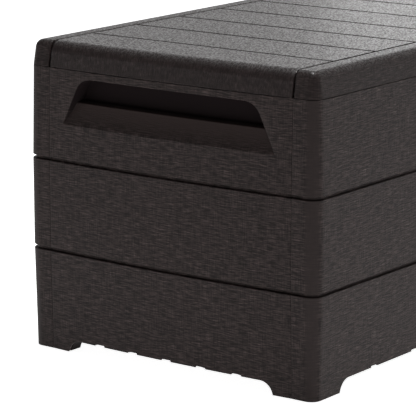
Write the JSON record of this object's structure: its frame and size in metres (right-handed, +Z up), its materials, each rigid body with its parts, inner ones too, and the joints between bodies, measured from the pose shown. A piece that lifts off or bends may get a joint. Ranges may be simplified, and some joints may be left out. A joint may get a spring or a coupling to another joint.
{
  "type": "deck storage box",
  "caption": "Long resin deck storage box with planked walls, a boarded lid on rear hinges held by telescopic struts, and a scooped handhold in each end.",
  "frame": {"origin": "centre of the footprint on the ground, lid closed", "axes": "+X along the length towards the right end, front face towards -Y, +Z up"},
  "size_m": [1.1606, 0.587, 0.5063],
  "materials": {
    "wall_resin": "dark brown resin with a brushed wood grain",
    "lid_resin": "dark brown resin boards with a fine grain and a satin sheen",
    "inner_resin": "plain dark brown resin",
    "tab_resin": "plain dark brown resin",
    "hinge_steel": "black powder coat",
    "steel_pin": "bright drawn steel",
    "zinc_screw": "zinc plated",
    "strut_tube": "satin black paint",
    "strut_rod": "polished steel"
  },
  "bodies": {
    "box": {"base_floor": "inner_resin", "front_panel": "wall_resin", "rear_panel": "wall_resin", "left_end_panel": "wall_resin", "right_end_panel": "wall_resin", "foot_front_left": "inner_resin", "foot_front_right": "inner_resin", "foot_rear_left": "inner_resin", "foot_rear_right": "inner_resin", "corner_post_front_left": "inner_resin", "corner_post_front_right": "inner_resin", "corner_post_rear_left": "inner_resin", "corner_post_rear_right": "inner_resin", "hinge_left_box_leaf": "hinge_steel", "hinge_middle_box_leaf": "hinge_steel", "hinge_right_box_leaf": "hinge_steel", "hinge_left_pin": "steel_pin", "hinge_middle_pin": "steel_pin", "hinge_right_pin": "steel_pin", "hinge_box_screws": "zinc_screw", "strut_left_wall_bracket": "hinge_steel", "strut_right_wall_bracket": "hinge_steel", "bracket_wall_screws": "zinc_screw", "padlock_box_tab": "tab_resin", "padlock_box_screws": "zinc_screw"},
    "lid": {"lid_deck": "lid_resin", "lid_liner": "inner_resin", "lid_front_rail": "lid_resin", "lid_rear_rail": "lid_resin", "hinge_left_lid_leaf": "hinge_steel", "hinge_middle_lid_leaf": "hinge_steel", "hinge_right_lid_leaf": "hinge_steel", "hinge_lid_screws": "zinc_screw", "strut_left_lid_bracket": "hinge_steel", "strut_right_lid_bracket": "hinge_steel", "bracket_lid_screws": "zinc_screw", "padlock_lid_tab": "tab_resin", "padlock_lid_screws": "zinc_screw"},
    "left_strut_cylinder": {"strut_left_cylinder": "strut_tube"},
    "left_strut_rod": {"strut_left_rod": "strut_rod"},
    "right_strut_cylinder": {"strut_right_cylinder": "strut_tube"},
    "right_strut_rod": {"strut_right_rod": "strut_rod"}
  },
  "joints": [
    {"name": "lid_hinge", "type": "hinge", "parent": "box", "child": "lid", "pos_m": [0, 0.287, 0.46501], "axis": [-1, 0, 0], "range_deg": [0, 92]},
    {"name": "left_cylinder_swing", "type": "hinge", "parent": "box", "child": "left_strut_cylinder", "pos_m": [-0.495, 0.22652, 0.22244], "axis": [-1, 0, 0], "range_deg": [-0.5, 46.5]},
    {"name": "left_rod_swing", "type": "hinge", "parent": "lid", "child": "left_strut_rod", "pos_m": [-0.495, 0.03749, 0.44931], "axis": [-1, 0, 0], "range_deg": [-46.5, 0.5]},
    {"name": "right_cylinder_swing", "type": "hinge", "parent": "box", "child": "right_strut_cylinder", "pos_m": [0.495, 0.22652, 0.22244], "axis": [-1, 0, 0], "range_deg": [-0.5, 46.5]},
    {"name": "right_rod_swing", "type": "hinge", "parent": "lid", "child": "right_strut_rod", "pos_m": [0.495, 0.03749, 0.44931], "axis": [-1, 0, 0], "range_deg": [-46.5, 0.5]}
  ],
  "couplings": [
    {"joint": "left_cylinder_swing", "follows": "lid_hinge", "ratio": 0.5},
    {"joint": "left_rod_swing", "follows": "lid_hinge", "ratio": -0.5},
    {"joint": "right_cylinder_swing", "follows": "lid_hinge", "ratio": 0.5},
    {"joint": "right_rod_swing", "follows": "lid_hinge", "ratio": -0.5}
  ]
}
